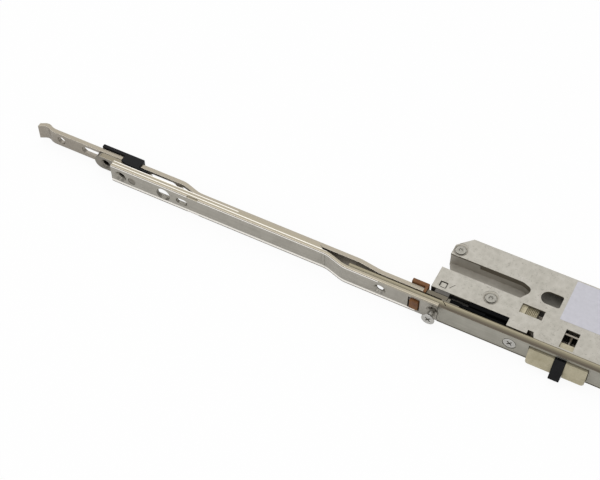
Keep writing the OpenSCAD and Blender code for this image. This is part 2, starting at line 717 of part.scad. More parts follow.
// Stem of the latch, with its collar, its guide bar and the pin that the lever lifts
module latch_stem() {
  color("#b98f4e") union() {
    depth_rod(insert_x, 8.4, collar_y - 1.5, stem_r, z = stem_z);
    depth_rod(insert_x, collar_y - 1.6, collar_y, 3.4, z = stem_z);
    depth_rod(insert_x, collar_y - 0.1, case_back - sheet - latch_travel - 0.6, stem_r, z = stem_z);
    cross_rod([insert_x, stem_pin_y], stem_z, lever_z1 + 0.5, 1.4);
    block([insert_x - 1, 19.9, stem_z], [insert_x + 1, 20.7, 4.2]);
    block([insert_x - 7.5, 19.7, lever_z1 + 0.4], [insert_x + 7.5, 20.9, 4.2]);
  }
}

// Plastic insert that meets the strike first
module latch_insert() {
  r = insert_reach;
  h = head_half;
  low_z = slide_z1 + 0.4;
  color("#121212") translate([insert_x - insert_w / 2, 0, 0]) rotate([90, 0, 90])
    linear_extrude(height = insert_w) polygon([
      [3.3, h], [-1, h], [-r + 0.4, -h + 1.6], [-r, -h + 0.6], [-r + 0.8, -h],
      [-1.6, -h], [-1.6, low_z], [3.3, low_z]
    ]);
}

// Coil of the latch spring, one unbroken tube
spring_turns = 6;
spring_r = 3;
spring_wire = 0.45;
spring_len = bracket_y - collar_y;
spring_steps = spring_turns * 14;
spring_sides = 6;
function coil_point(k) = let (t = k / spring_steps) [
  spring_r * cos(360 * spring_turns * t), spring_r * sin(360 * spring_turns * t),
  spring_wire + (spring_len - 2 * spring_wire) * t
];
function coil_ring(k) = let (
  a = 360 * spring_turns * k / spring_steps, c = coil_point(k), out = [cos(a), sin(a), 0]
) [for (j = [0 : spring_sides - 1]) let (b = 360 * j / spring_sides)
  c + out * spring_wire * cos(b) + [0, 0, spring_wire * sin(b)]];
coil_gap = (spring_len - 2 * spring_wire) / spring_turns - 2 * spring_wire;
echo(coil_gap = coil_gap);

module latch_spring() {
  rings = [for (k = [0 : spring_steps]) for (p = coil_ring(k)) p];
  s = spring_sides;
  last = spring_steps * s;
  walls = [for (k = [0 : spring_steps - 1]) for (j = [0 : s - 1]) let (
    a = k * s + j, b = k * s + (j + 1) % s, c = a + s, d = b + s) for (f = [[a, b, d], [a, d, c]]) f];
  caps = concat(
    [for (j = [1 : s - 2]) [0, j + 1, j]],
    [for (j = [1 : s - 2]) [last, last + j, last + j + 1]]
  );
  color("#b8b8b8") translate([insert_x, collar_y, stem_z]) rotate([-90, 0, 0])
    polyhedron(points = rings, faces = concat(walls, caps));
}

// Flat arm of a lever
module lever_plate(path) {
  translate([0, 0, lever_z0]) linear_extrude(height = lever_z1 - lever_z0) polygon(path);
}

// Lever that draws the latch in
module latch_lever() {
  p = lever_pivot;
  pin = [insert_x, stem_pin_y];
  nose = [-nose_r * cos(nose_a - 180 + turn), backset - nose_r * sin(nose_a - 180 + turn) - slide_gap];
  color("#aeaba2") difference() {
    union() {
      cross_rod(p, lever_z0, lever_z1, 4.6);
      lever_plate([p + [0, 3.6], p + [0, -4.2], pin + [4, -2.7], pin + [-3.2, -2.9], pin + [-3.2, 2.6], pin + [4, 3.2]]);
      lever_plate([p + [0, 3.9], nose + [-3, 1], nose + [1, -0.2], nose + [1.2, -2], nose + [-2, -4], p + [1, -4]]);
    }
    cross_rod(p, 0, case_half, 2.2 + pin_gap);
    translate([pin[0] - 5, pin[1] - 1.75, 0]) cube([8, 3.5, case_half]);
  }
}

// Lever that the key turns to draw the latch
module changer_lever() {
  p = changer_pivot;
  color("#aeaba2") difference() {
    union() {
      cross_rod(p, lever_z0, lever_z1, 4.6);
      lever_plate([p + [0, 4], p + [34, 9.5], p + [36, 6.5], p + [33.5, 2], p + [2, -4]]);
      lever_plate([p + [2, 4], p + [0, -4], p + [-11, -6], p + [-12.5, -2.5]]);
    }
    cross_rod(p, 0, case_half, 2.2 + pin_gap);
  }
}

faceplate();
upper_faceplate();
end_connector();
rod_guide_clip();
position_clip();
coupling_screw();
faceplate_screws();
case_tray();
case_cover();
case_posts();
case_screws();
case_label();
follower_bushes();
spring_bracket();
pivot_pins();
channel_liner();
rod_guide_block();
gate_shield();
upper_rod();
rod_coupler();
link_strip();
strip_cap();
rack_slide();
serrated_block();
slide_block();
lower_rod();
locking_cam();
slide_rivets();
follower();
latch_bolt();
latch_stem();
latch_insert();
latch_spring();
latch_lever();
changer_lever();
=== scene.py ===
import json
import math

import bpy
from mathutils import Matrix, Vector


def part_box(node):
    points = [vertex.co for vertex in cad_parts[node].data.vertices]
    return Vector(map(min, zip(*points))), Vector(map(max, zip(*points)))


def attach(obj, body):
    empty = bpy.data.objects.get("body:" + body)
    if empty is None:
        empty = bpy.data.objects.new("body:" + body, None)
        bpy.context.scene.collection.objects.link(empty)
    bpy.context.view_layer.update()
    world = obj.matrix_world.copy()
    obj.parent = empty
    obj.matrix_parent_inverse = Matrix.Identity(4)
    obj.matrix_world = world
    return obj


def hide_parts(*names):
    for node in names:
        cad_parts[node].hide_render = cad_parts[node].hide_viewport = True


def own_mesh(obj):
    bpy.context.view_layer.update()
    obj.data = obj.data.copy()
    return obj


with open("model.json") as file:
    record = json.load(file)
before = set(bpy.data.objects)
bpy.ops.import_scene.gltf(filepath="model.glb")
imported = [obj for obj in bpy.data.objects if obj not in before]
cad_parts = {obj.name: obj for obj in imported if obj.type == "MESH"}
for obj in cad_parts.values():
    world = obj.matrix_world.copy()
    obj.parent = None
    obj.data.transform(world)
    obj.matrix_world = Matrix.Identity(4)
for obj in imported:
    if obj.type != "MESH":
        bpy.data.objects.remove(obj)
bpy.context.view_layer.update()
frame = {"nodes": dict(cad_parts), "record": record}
nodes = frame["nodes"]
MM = 0.001  # millimetres to metres, which Blender and the frame use
TO_MM = 1000  # and back

# The body and the material slot of each CAD node
body_of = {n: b for b, members in frame["record"]["behaviour"]["bodies"].items() for n in members}
slot_of = {s["node"]: s["material_slot"] for s in frame["record"]["subparts"]}


# Modelling

MERGE_DISTANCE = 0.000002  # points closer than this, in metres, become one
SAME_PLACE = 0.00001  # a point this close to a given place, in metres, is the one that is meant
NEAR = 0.01  # the same for tests in millimetres
ROUND_SIDES = 48


def only(*objs):
    """Leaves just these objects selected, the first one active."""
    bpy.ops.object.select_all(action="DESELECT")
    for o in objs:
        o.select_set(True)
    bpy.context.view_layer.objects.active = objs[0]


def place_in_mesh(obj):
    """Moves the object's place and turn into its mesh."""
    only(obj)
    bpy.ops.object.transform_apply(location=True, rotation=True, scale=True)


def apply_modifier(obj, kind, **settings):
    """Adds one modifier and applies it."""
    only(obj)
    mod = obj.modifiers.new(kind.title(), kind)
    for key, value in settings.items():
        setattr(mod, key, value)
    bpy.ops.object.modifier_apply(modifier=mod.name)


def on_whole_mesh(obj, operator, **settings):
    """Runs an edit-mode operator on all of the piece's mesh."""
    only(obj)
    bpy.ops.object.mode_set(mode="EDIT")
    bpy.ops.mesh.select_all(action="SELECT")
    operator(**settings)
    bpy.ops.object.mode_set(mode="OBJECT")


def with_points(obj, points, operator, **settings):
    """Runs an edit-mode operator on the vertices of the piece that lie at the given places."""
    only(obj)
    bpy.ops.object.mode_set(mode="EDIT")
    bpy.ops.mesh.select_mode(type="VERT")
    bpy.ops.mesh.select_all(action="DESELECT")
    bpy.ops.object.mode_set(mode="OBJECT")
    for v in obj.data.vertices:
        v.select = any((v.co - p).length < SAME_PLACE for p in points)
    bpy.ops.object.mode_set(mode="EDIT")
    operator(**settings)
    bpy.ops.object.mode_set(mode="OBJECT")


def add_block(name, low, high):
    """A block between two corners in millimetres."""
    centre = [(a + b) / 2 * MM for a, b in zip(low, high)]
    bpy.ops.object.select_all(action="DESELECT")
    bpy.ops.mesh.primitive_cube_add(size=1, location=centre)
    obj = bpy.context.object
    obj.name = name
    obj.scale = [(b - a) * MM for a, b in zip(low, high)]
    place_in_mesh(obj)
    return obj


def add_round(name, centre, radius, length, along="Y"):
    """A round bar centred on a point, in millimetres."""
    turn = {"Y": (math.pi / 2, 0, 0), "Z": (0, 0, 0)}[along]
    bpy.ops.object.select_all(action="DESELECT")
    bpy.ops.mesh.primitive_cylinder_add(vertices=ROUND_SIDES, radius=radius * MM, depth=length * MM,
                                        location=[c * MM for c in centre], rotation=turn)
    obj = bpy.context.object
    obj.name = name
    place_in_mesh(obj)
    return obj


def round_edges(obj, width):
    """Rounds the sharp edges, to a width in millimetres."""
    apply_modifier(obj, "BEVEL", width=width * MM, segments=2, limit_method="ANGLE",
                   angle_limit=math.radians(35), use_clamp_overlap=True, miter_outer="MITER_ARC")


def edge_bevel(obj, test, width, segments):
    """Bevels the edges whose two ends pass the test, which gets them in millimetres."""
    only(obj)
    bpy.ops.object.mode_set(mode="EDIT")
    bpy.ops.mesh.select_mode(type="EDGE")
    bpy.ops.mesh.select_all(action="DESELECT")
    bpy.ops.object.mode_set(mode="OBJECT")
    points = obj.data.vertices
    for edge in obj.data.edges:
        edge.select = test(*(points[i].co * TO_MM for i in edge.vertices))
    bpy.ops.object.mode_set(mode="EDIT")
    bpy.ops.mesh.bevel(offset=width * MM, segments=segments, affect="EDGES", clamp_overlap=True)
    bpy.ops.mesh.select_mode(type="VERT")
    bpy.ops.object.mode_set(mode="OBJECT")


def smooth(obj):
    """Shades the round surfaces smooth and keeps the edges."""
    only(obj)
    bpy.ops.object.shade_smooth_by_angle(angle=math.radians(40))


def merge_close(obj):
    """Merges points that lie within two thousandths of a millimetre."""
    on_whole_mesh(obj, bpy.ops.mesh.remove_doubles, threshold=MERGE_DISTANCE)


def join_flat_faces(obj):
    """Joins the triangles of each flat face."""
    on_whole_mesh(obj, bpy.ops.mesh.dissolve_limited, angle_limit=math.radians(0.5))


def cut_away(obj, *tools):
    """Cuts the tools out of the piece and removes them."""
    for tool in tools:
        apply_modifier(obj, "BOOLEAN", operation="DIFFERENCE", object=tool, solver="EXACT")
        bpy.data.objects.remove(tool)


def clean_copy(node, name):
    """A copy of a CAD node as one closed mesh."""
    source = nodes[node]
    obj = source.copy()
    obj.data = source.data.copy()
    obj.name = name
    bpy.context.collection.objects.link(obj)
    merge_close(obj)
    return obj


def dress(obj, body, slot, material, *replaced):
    """Gives a finished piece its material, its body and the node it stands for."""
    obj.data.materials.clear()
    obj.data.materials.append(material)
    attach(obj, body)
    if replaced:
        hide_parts(*replaced)


def finish_copy(obj, node, width):
    """Rounds the edges of a worked copy and lets it stand for its CAD node."""
    # Screws keep their triangles, because a joined face round a recess bevels badly
    if not node.endswith(("screw", "screws")):
        join_flat_faces(obj)
    round_edges(obj, width)
    smooth(obj)
    apply_modifier(obj, "WEIGHTED_NORMAL", keep_sharp=True, weight=50)
    dress(obj, body_of[node], slot_of[node], finish_of(node), node)


# Materials

NOISE_LOW, NOISE_HIGH = 0.3, 0.7  # noise gives values between these two nearly everywhere
LOWEST = -20  # bands by height or depth run from this to its opposite, in millimetres


def linear(hex_colour):
    """Linear colour from an sRGB hex value."""
    parts = [int(hex_colour[i:i + 2], 16) / 255 for i in (1, 3, 5)]
    return [p / 12.92 if p <= 0.04045 else ((p + 0.055) / 1.055) ** 2.4 for p in parts] + [1]


def add_node(tree, kind, settings=None, links=None, stops=()):
    """Adds a node with its settings, its links and, for a colour ramp, its stops of place and colour."""
    new = tree.nodes.new(kind)
    for key, value in (settings or {}).items():
        if isinstance(key, int) or key in new.inputs:
            new.inputs[key].default_value = value
        else:
            setattr(new, key, value)
    for key, source in (links or {}).items():
        tree.links.new(source, new.inputs[key])
    if stops:
        elements = new.color_ramp.elements
        elements[0].position, elements[1].position = stops[0][0], stops[-1][0]
        for place, _ in stops[1:-1]:
            elements.new(place)
        for element, (_, colour) in zip(elements, stops):
            element.color = linear(colour) if colour else (0, 0, 0, 0)
    return new


def new_material(name, **shader):
    """A material with its shader's constants set."""
    mat = bpy.data.materials.new(name)
    mat.use_nodes = True
    tree = mat.node_tree
    bsdf = tree.nodes["Principled BSDF"]
    for key, value in shader.items():
        bsdf.inputs[key.replace("_", " ")].default_value = value
    return mat, tree, bsdf


def surface_place(tree, x_mm, y_mm=None, z_mm=None):
    """Object coordinates, stretched so that a pattern of scale 1 has these sizes in millimetres."""
    sizes = (x_mm, y_mm or x_mm, z_mm or x_mm)
    coords = add_node(tree, "ShaderNodeTexCoord")
    return add_node(tree, "ShaderNodeMapping", {"Scale": [TO_MM / s for s in sizes]},
                    {"Vector": coords.outputs["Object"]}).outputs[0]


def tones(*colours):
    """Ramp stops that spread the colours over the values that noise gives."""
    step = (NOISE_HIGH - NOISE_LOW) / (len(colours) - 1)
    return [(NOISE_LOW + i * step, colour) for i, colour in enumerate(colours)]


def link_finish(tree, bsdf, colour, cloud, roughness, grain, strength, relief):
    """Gives the shader a colour, a roughness that follows the cloud and the grain's relief (mm)."""
    gloss = add_node(tree, "ShaderNodeMapRange", {"From Min": NOISE_LOW, "From Max": NOISE_HIGH,
                                                  "To Min": roughness[0], "To Max": roughness[1]},
                     {"Value": cloud.outputs["Fac"]})
    bump = add_node(tree, "ShaderNodeBump", {"Strength": strength, "Distance": relief * MM},
                    {"Height": grain.outputs["Fac"]})
    tree.links.new(colour, bsdf.inputs["Base Color"])
    tree.links.new(gloss.outputs[0], bsdf.inputs["Roughness"])
    tree.links.new(bump.outputs[0], bsdf.inputs["Normal"])


def metal_finish(name, colours, roughness, grain_mm, relief=0.02, metallic=1.0, spots_mm=9):
    """Metal with a directional grain, cloudy stains and a little variation in gloss."""
    mat, tree, bsdf = new_material(name, Metallic=metallic)
    grain = add_node(tree, "ShaderNodeTexNoise", {"Scale": 1, "Detail": 3, "Roughness": 0.6},
                     {"Vector": surface_place(tree, *grain_mm)})
    cloud = add_node(tree, "ShaderNodeTexNoise", {"Scale": 1, "Detail": 4, "Roughness": 0.55},
                     {"Vector": surface_place(tree, spots_mm)})
    blend = add_node(tree, "ShaderNodeMix", {"data_type": "FLOAT", "Factor": 0.45},
                     {2: cloud.outputs["Fac"], 3: grain.outputs["Fac"]})
    ramp = add_node(tree, "ShaderNodeValToRGB", None, {"Fac": blend.outputs[0]}, tones(*colours))
    link_finish(tree, bsdf, ramp.outputs["Color"], cloud, roughness, grain, 0.35, relief)
    return mat


def plated_finish(name, *colours):
    """Nickel-plated strip steel, drawn lengthwise: satin, with faint lines 80 mm long and 0.7 mm apart."""
    return metal_finish(name, colours, (0.28, 0.38), (80, 0.7, 0.7), relief=0.012)


def spangled_sheet(name):
    """Hot-dip galvanised sheet: dull, with faint crystal patches 4 mm wide and small dark specks."""
    mat, tree, bsdf = new_material(name, Metallic=0.5)
    patches = add_node(tree, "ShaderNodeTexVoronoi", {"Scale": 1, "Randomness": 1},
                       {"Vector": surface_place(tree, 4)})
    cloud = add_node(tree, "ShaderNodeTexNoise", {"Scale": 1, "Detail": 5, "Roughness": 0.6},
                     {"Vector": surface_place(tree, 14)})
    speck = add_node(tree, "ShaderNodeTexNoise", {"Scale": 1, "Detail": 2, "Roughness": 0.7},
                     {"Vector": surface_place(tree, 1.1)})
    tone = add_node(tree, "ShaderNodeMix", {"data_type": "FLOAT", "Factor": 0.3},
                    {2: cloud.outputs["Fac"], 3: patches.outputs["Distance"]})
    base = add_node(tree, "ShaderNodeValToRGB", None, {"Fac": tone.outputs[0]},
                    tones("#b0aca2", "#bbb7ad", "#c5c1b8"))
    dark = add_node(tree, "ShaderNodeValToRGB", None, {"Fac": speck.outputs["Fac"]},
                    [(0.28, "#8b877d"), (0.4, "#ffffff"), (1.0, "#ffffff")])
    mixed = add_node(tree, "ShaderNodeMix", {"data_type": "RGBA", "blend_type": "MULTIPLY", "Factor": 0.5},
                     {6: base.outputs["Color"], 7: dark.outputs["Color"]})
    link_finish(tree, bsdf, mixed.outputs[2], cloud, (0.5, 0.62), speck, 0.2, 0.02)
    return mat


def moulded_plastic(name, dark, light, roughness, gloss=0.5):
    """Injection-moulded plastic with a spark-eroded texture, 0.5 mm wide so that it shows."""
    mat, tree, bsdf = new_material(name, Metallic=0.0, IOR=1.49, Specular_IOR_Level=gloss)
    grain = add_node(tree, "ShaderNodeTexNoise", {"Scale": 1, "Detail": 2, "Roughness": 0.5},
                     {"Vector": surface_place(tree, 0.5)})
    cloud = add_node(tree, "ShaderNodeTexNoise", {"Scale": 1, "Detail": 3},
                     {"Vector": surface_place(tree, 5)})
    ramp = add_node(tree, "ShaderNodeValToRGB", None, {"Fac": cloud.outputs["Fac"]}, tones(dark, light))
    link_finish(tree, bsdf, ramp.outputs["Color"], cloud, (roughness, roughness + 0.1), grain, 0.15, 0.02)
    return mat


def label_paper(name):
    """Coated label paper: smooth and white, with a very faint fibre cloud."""
    mat, tree, bsdf = new_material(name, Metallic=0.0, Roughness=0.45)
    fibre = add_node(tree, "ShaderNodeTexNoise", {"Scale": 1, "Detail": 4},
                     {"Vector": surface_place(tree, 3)})
    ramp = add_node(tree, "ShaderNodeValToRGB", None, {"Fac": fibre.outputs["Fac"]},
                    tones("#bcbbc2", "#c4c3ca"))
    tree.links.new(ramp.outputs["Color"], bsdf.inputs["Base Color"])
    return mat


def facing_and_place(tree):
    """Two nodes with X, Y and Z of the way a surface faces and of its place in millimetres."""
    normal = add_node(tree, "ShaderNodeNewGeometry").outputs["True Normal"]
    return [add_node(tree, "ShaderNodeSeparateXYZ", None, {"Vector": source})
            for source in (normal, surface_place(tree, 1))]


def where(tree, share, tests):
    """Keeps a share only where each test, an operation, an output and a limit, holds."""
    for operation, tested, limit in tests:
        passed = add_node(tree, "ShaderNodeMath", {"operation": operation, 1: limit}, {0: tested})
        share = add_node(tree, "ShaderNodeMath", {"operation": "MULTIPLY"},
                         {0: share, 1: passed.outputs[0]}).outputs[0]
    return share


def lay_over(tree, share, settings, links):
    """Mixes a second colour, from the settings or the links, over the finish by a share from 0 to 1."""
    colour = tree.nodes["Principled BSDF"].inputs["Base Color"]
    mixed = add_node(tree, "ShaderNodeMix", {"data_type": "RGBA", **settings},
                     {"Factor": share, 6: colour.links[0].from_socket, **links})
    tree.links.new(mixed.outputs[2], colour)


def banded(mat, kind, bands, front_only=False, edge_from=None, before_x=None):
    """Lays bands over a finish by the face's slope (its upward share), height or depth (both in mm).

    Each band is where it starts and its colour, or None for the finish below. The bands can be kept to
    the front, to the long edges further out than edge_from, or to the stretch before a place along X.
    """
    tree = mat.node_tree
    facing, place = facing_and_place(tree)
    low = -1 if kind == "slope" else LOWEST
    value = {"slope": facing.outputs["Z"], "height": place.outputs["Z"], "depth": place.outputs["Y"]}[kind]
    spread = add_node(tree, "ShaderNodeMapRange", {"From Min": low, "From Max": -low}, {"Value": value})
    ramp = add_node(tree, "ShaderNodeValToRGB", None, {"Fac": spread.outputs[0]},
                    [((start - low) / (-low - low), colour) for start, colour in bands])
    ramp.color_ramp.interpolation = "CONSTANT"
    tests = []
    if front_only:
        tests.append(("LESS_THAN", facing.outputs["Y"], -0.3))
    if edge_from:
        reach = add_node(tree, "ShaderNodeMath", {"operation": "ABSOLUTE"}, {0: place.outputs["Z"]})
        tests.append(("GREATER_THAN", reach.outputs[0], edge_from))
    if before_x:
        tests.append(("LESS_THAN", place.outputs["X"], before_x))
    lay_over(tree, where(tree, ramp.outputs["Alpha"], tests), {}, {7: ramp.outputs["Color"]})
    return mat


def shade_inside(mat, floor_z, rail_side_y):
    """Darkens the inner floor of the sheet, below floor_z and before rail_side_y (mm), with painted shade.
    """
    tree = mat.node_tree
    facing, place = facing_and_place(tree)
    fade = add_node(tree, "ShaderNodeMapRange", {"From Min": rail_side_y + 2, "From Max": rail_side_y - 2},
                    {"Value": place.outputs["Y"]})
    share = where(tree, fade.outputs[0], [("LESS_THAN", place.outputs["Z"], floor_z),
                                          ("GREATER_THAN", facing.outputs["Z"], 0.5)])
    # Painted shade on the inner floor
    lay_over(tree, share, {7: linear("#33302b")}, {})
    return mat


# From the plates' middle plane, in millimetres: their sides, where the folds begin, and the flanges
half_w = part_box("faceplate")[1][2] * TO_MM
fold_zone = half_w - 1.7
flange_side = half_w - 0.1
# Painted shade on a fold, by slope from the side that faces down to the one that faces up: dark below,
# darkened to tan above
FOLD_SHADE = [(-1, "#857b68"), (-0.97, "#5c574b"), (-0.05, None), (0.05, "#433d34"), (0.35, "#4f483d"),
            (0.62, "#6a6253"), (0.9, "#786f5e"), (0.985, None)]

# Nickel-plated strip without wear: satin grey with a warm tint
SATIN_NICKEL = ("#908d83", "#9d9a90", "#a9a69c")
plated_strip = plated_finish("nickel_plated_strip", *SATIN_NICKEL)

# Main plate, the same strip folded: painted shade on its folds, painted stripes of light and shade across
# its flange and a painted dark reflection along its lower front edge
folded_strip = plated_finish("folded_main_strip", *SATIN_NICKEL)
# Painted stripes of light and shade across the flange, by depth
banded(folded_strip, "depth", [(LOWEST, "#5c554b"), (1.5, "#6b6456"), (2.3, "#766f5f"), (3.0, "#8a836f"),
                               (4.0, "#9d9580"), (4.7, "#726b59"), (5.5, "#9a927c")], edge_from=flange_side)
# Painted shade on the folds, by slope
banded(folded_strip, "slope", FOLD_SHADE, edge_from=fold_zone)
# Painted dark reflection of the shadow under the plate, along the lowest 1.15 mm of the front
banded(folded_strip, "height", [(LOWEST, "#5a5448"), (-half_w + 1.15, None)], front_only=True)

# Upper plate, the same strip: painted highlights on its folds with painted dark reflection lines beside
# them, painted highlight lines on its flange, and painted shade with a highlight line along its lower front
# edge
upper_strip_painted_light = plated_finish("folded_upper_strip", "#959188", "#a29e95", "#aeaaa1")
# Painted shade on the lower fold; painted highlights and dark reflection lines on the upper fold, by slope
banded(upper_strip_painted_light, "slope", FOLD_SHADE[:3] + [(0.05, "#a39c8f"), (0.35, "#c6c0b2"), (0.7, "#837c6f"),
                                            (0.9, "#b3ac9c"), (0.985, "#a59d8b")], edge_from=fold_zone)
# Brighter painted highlights on the folds further up
banded(upper_strip_painted_light, "slope", [(-1, None), (0.05, "#fdf9f2"), (0.7, "#6e6559"), (0.9, "#c9c1b2"),
                             (0.985, None)], edge_from=fold_zone, before_x=-192)
# Painted highlight lines across the flange further up, by depth
banded(upper_strip_painted_light, "depth", [(LOWEST, None), (6.6, "#f4efe6"), (7.3, None)],
       edge_from=flange_side, before_x=-225)
banded(upper_strip_painted_light, "depth", [(LOWEST, None), (9.0, "#f4efe6")], edge_from=flange_side, before_x=-300)
# Painted shade along the lower front edge with a painted highlight line above it, further up
banded(upper_strip_painted_light, "height", [(LOWEST, "#6a6558"), (-half_w + 1.0, "#fbf7f0"), (-half_w + 3.0, None)],
       front_only=True, before_x=-165)

# Rods, zinc-plated flat bar with rolled edges: dull grey, with painted shade on their lower edges and tops,
# and further up painted highlights on their upper edges over a lighter top
rod_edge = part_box("upper_rod")[1][2] * TO_MM - 0.5
rod_strip = metal_finish("zinc_plated_bar", ("#8e877c", "#9a9388", "#a59e93"), (0.3, 0.42), (70, 0.8, 0.8),
                         relief=0.015)
# Painted shade by slope on the edges and top
banded(rod_strip, "slope", [(-1, "#857d6e"), (-0.9, "#6b6457"), (-0.05, None), (0.1, "#8d8678"),
                            (0.97, "#6d675b")], edge_from=rod_edge)
# Painted highlights on the upper edges and a lighter top, further up
banded(rod_strip, "slope", [(-1, None), (0.1, "#f4efe5"), (0.97, "#a59d8e")],
       edge_from=rod_edge, before_x=-163)

# End connector, nickel-plated strip gone dull: darker, with a painted highlight on its upper edge and
# painted shade on its lower edge
connector_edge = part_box("end_connector")[1][2] * TO_MM - 0.5
connector_strip = plated_finish("dull_plated_strip", "#77726a", "#827d74", "#8e897f")
banded(connector_strip, "slope", [(-1, "#6b6457"), (-0.9, "#57514a"), (-0.05, None), (0.1, "#b9b2a4"),
                                  (0.97, "#8f8776")], edge_from=connector_edge)

# Link strip and coupler, rolled steel with an oil film: grey brown, half matt
link_steel = metal_finish("oiled_link_strip", ("#6a665c", "#787469", "#858176"), (0.35, 0.5), (30, 1, 1),
                          relief=0.01)

# Cover, galvanised sheet: matt and pale, with painted shade on the faces that turn away from the top,
# darkest on its upright cut edges and walls
zinc_sheet = banded(spangled_sheet("galvanised_sheet"), "slope",
                    [(-1, None), (-0.95, "#8a8374"), (-0.02, "#6b6456"), (0.1, "#7b7464"),
                     (0.85, "#aba69a"), (0.97, None)])

# Tray, the same sheet: painted shade on its inner floor and on all that faces the front
inner_shaded_sheet = shade_inside(spangled_sheet("inner_shaded_galvanised_sheet"), -4.5, 39)
# Painted shade on all that faces the front
banded(inner_shaded_sheet, "height", [(LOWEST, "#23211f"), (19, None)], front_only=True)

# Channel liner, drawn zinc-plated sheet: matt and cloudy, a little darker than the cover
channel_sheet = metal_finish("drawn_channel_sheet", ("#989389", "#a8a399", "#b6b1a8"), (0.5, 0.6),
                             (9, 9, 9), relief=0.01, metallic=0.5, spots_mm=14)

# Inner levers and brackets, phosphated and oiled steel: dark grey, half matt
dark_steel = metal_finish("phosphated_oiled_steel", ("#4a4744", "#5b5854", "#6a6762"), (0.35, 0.5),
                          (9, 9, 9), relief=0.01, metallic=0.8, spots_mm=14)

# Latch, zinc die casting with a yellow passivation: cream, with a fine cast grain
die_casting = metal_finish("passivated_die_casting", ("#a49c82", "#b2aa91", "#beb69f"), (0.42, 0.55),
                           (1.2, 1.2, 1.2), relief=0.03, metallic=0.55, spots_mm=5)

# Screws, bright zinc plating on pressed heads: the palest and glossiest metal here
screw_steel = metal_finish("zinc_plated_screw", ("#a6a49f", "#b8b6b1", "#c8c6c2"), (0.28, 0.4), (1, 1, 1),
                           relief=0.01, spots_mm=2)

# Screws of the cover, the same but gone dull, with painted shade on the sides of their heads
case_screw_steel = metal_finish("dull_case_screw", ("#959289", "#a4a198", "#b2afa6"), (0.4, 0.5), (1, 1, 1),
                                relief=0.01, spots_mm=2, metallic=0.6)
banded(case_screw_steel, "slope", [(-1, None), (-0.05, "#5a564d"), (0.9, None)])

# Spring, drawn wire: grey and clean
spring_steel = metal_finish("spring_wire", ("#8f8f8f", "#b0b0b0"), (0.3, 0.4), (1, 1, 1), spots_mm=3)

# Pins and bearing rings, turned brass: yellow, with fine turning lines round the axis
turned_brass = metal_finish("turned_brass", ("#a07c42", "#b38d4e", "#c49f60"), (0.28, 0.4), (2, 0.3, 2),
                            relief=0.01, spots_mm=3)

# Moulded plastics: black acetal with a soft gloss, the same rubbed dull, brown polyamide and cream acetal
black_pom = moulded_plastic("black_acetal", "#08080a", "#101012", 0.42, gloss=0.2)
shade_black = moulded_plastic("dull_black_acetal", "#060607", "#0b0b0c", 0.65, gloss=0.05)
brown_pa = moulded_plastic("brown_polyamide", "#623e22", "#7d5633", 0.5, gloss=0.3)
cream_pom = moulded_plastic("cream_acetal", "#b7ae92", "#c6bda2", 0.45)
paper = label_paper("coated_label_paper")

NODE_MATERIALS = {
    "faceplate": folded_strip, "upper_faceplate": upper_strip_painted_light, "end_connector": connector_strip,
    "link_strip": link_steel, "rod_coupler": link_steel, "case_tray": inner_shaded_sheet,
    "channel_liner": channel_sheet, "case_screws": case_screw_steel, "strip_cap": shade_black,
    "gate_shield": shade_black, "latch_spring": spring_steel,
}
SLOT_MATERIALS = {
    "plated_steel": plated_strip, "rod_steel": rod_strip, "zinc_sheet": zinc_sheet,
    "zinc_casting": die_casting, "screw_steel": screw_steel, "brass_pin": turned_brass,
    "black_plastic": black_pom, "dark_steel": dark_steel, "brown_plastic": brown_pa,
    "cream_plastic": cream_pom, "label_paper": paper,
}


def finish_of(node):
    """The finish of a node, its own or that of its slot."""
    return NODE_MATERIALS.get(node) or SLOT_MATERIALS[slot_of[node]]


# Every CAD node starts with its finish
for node_name, cad in nodes.items():
    cad.data.materials.clear()
    cad.data.materials.append(finish_of(node_name))


# Faceplates, all sizes in millimetres

FOLD_RADIUS = 1.6  # the upper fold is rolled
LOWER_FOLD = 0.6  # the lower one is nearly sharp
PLATE_EDGE = 0.2
SHORT_EDGE = 0.3  # edges shorter than this along X are no part of a fold
HEAD_RADIUS = 4.2  # screws in the main plate, with the gap round their heads
GAP_RADIUS = 4.75
GAP_DEPTH = 0.6
FLANGE_REACH = 4.9  # the start of the main plate's flange is moved this far, up to the seam
LOW_HOLE = (-196.5, 2, -7.2), (-189, 6, 0.6)  # opening in the tongue behind the upper plate's low hole
STEP_FACE = 4.4  # how far back the upper plate's front lies beyond its step
NOTCH_X, NOTCH_Y, NOTCH_DEPTH = (-337.7, -329.3), (STEP_FACE, 5.8), 0.8
SPARE = 0.02  # the tool is this much larger than the notch
PRESS_LINES = (-234.9, -232.4)  # two lines across the upper plate, at the end of its step


def is_front_edge(obj, side, start_x):
    """Test for a plate's long front edge on one side, from start_x on, also where the plate steps back."""
    nearest = {}
    for v in obj.data.vertices:
        x, y, z = v.co * TO_MM
        if abs(z - side * half_w) < NEAR:
            nearest[round(x, 1)] = min(y, nearest.get(round(x, 1), y))

    def test(a, b):
        on_side = all(abs(v.z - side * half_w) < NEAR for v in (a, b))
        if not on_side or abs(a.x - b.x) < SHORT_EDGE or min(a.x, b.x) < start_x:
            return False
        return all(v.y < nearest[round(v.x, 1)] + 2 * NEAR for v in (a, b))
    return test


def fold_edges(obj, start_x):
    """Gives a plate the folds of its two long front edges."""
    join_flat_faces(obj)
    edge_bevel(obj, is_front_edge(obj, 1, start_x), FOLD_RADIUS, segments=4)
    edge_bevel(obj, is_front_edge(obj, -1, start_x), LOWER_FOLD, segments=2)


